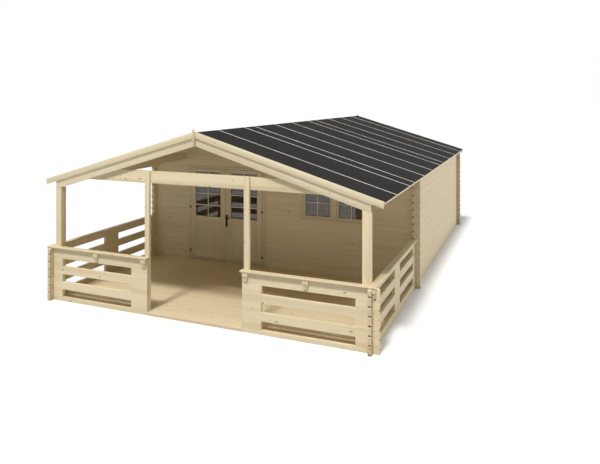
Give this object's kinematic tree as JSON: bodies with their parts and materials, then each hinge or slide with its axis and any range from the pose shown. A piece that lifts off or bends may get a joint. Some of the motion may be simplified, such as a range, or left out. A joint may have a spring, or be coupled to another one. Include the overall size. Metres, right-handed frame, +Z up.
{
  "type": "log cabin",
  "caption": "Gable-roofed log cabin with a deep railed front veranda, a glazed outward-opening double door, a paired casement window and interlocking notched log corners.",
  "frame": {"origin": "middle of the footprint on the ground, under the centre of the whole cabin", "axes": "+X to the right seen from the veranda, +Y from the veranda front to the back wall along the ridge, +Z up"},
  "size_m": [5.27, 7.9204, 2.6395],
  "materials": {
    "wall_pine": "planed natural pine",
    "rail_pine": "planed natural pine",
    "frame_pine": "planed natural pine",
    "deck_pine": "sawn natural pine",
    "floor_pine": "planed natural pine",
    "joinery_pine": "planed natural pine",
    "roof_felt": "mineral-surfaced roofing felt",
    "clear_glass": "clear",
    "black_metal": "satin black"
  },
  "bodies": {
    "cabin": {"front_wall_logs": "wall_pine", "back_wall_logs": "wall_pine", "left_wall_logs": "wall_pine", "right_wall_logs": "wall_pine", "ridge_purlin": "wall_pine", "side_purlins": "wall_pine", "front_rail_logs": "rail_pine", "front_rail_blocks": "rail_pine", "side_rail_logs": "rail_pine", "side_rail_blocks": "rail_pine", "front_rail_caps": "rail_pine", "side_rail_caps": "rail_pine", "rail_brackets": "rail_pine", "corner_posts": "frame_pine", "entrance_posts": "frame_pine", "tie_beam": "frame_pine", "gable_rafters": "frame_pine", "eave_beams": "frame_pine", "front_bargeboards": "frame_pine", "back_bargeboards": "frame_pine", "gable_finials": "frame_pine", "eave_boards": "frame_pine", "left_roof_deck": "deck_pine", "right_roof_deck": "deck_pine", "veranda_floor": "floor_pine", "cabin_floor": "floor_pine", "floor_bearers": "floor_pine", "entrance_sill": "floor_pine", "door_jambs": "joinery_pine", "door_head": "joinery_pine", "door_threshold": "joinery_pine", "window_frame": "joinery_pine", "window_casements": "joinery_pine", "left_roof_felt": "roof_felt", "right_roof_felt": "roof_felt", "window_glass": "clear_glass", "frame_hinges": "black_metal"},
    "left_door": {"left_door_leaf": "joinery_pine", "left_door_glass": "clear_glass", "left_leaf_hinges": "black_metal"},
    "right_door": {"right_door_leaf": "joinery_pine", "right_door_glass": "clear_glass", "right_leaf_hinges": "black_metal", "door_handle": "black_metal"}
  },
  "joints": [
    {"name": "left_door_hinge", "type": "hinge", "parent": "cabin", "child": "left_door", "pos_m": [-1.689, -1.30725, 0.9], "axis": [0, 0, -1], "range_deg": [0, 110]},
    {"name": "right_door_hinge", "type": "hinge", "parent": "cabin", "child": "right_door", "pos_m": [-0.207, -1.30725, 0.9], "axis": [0, 0, 1], "range_deg": [0, 110]}
  ]
}
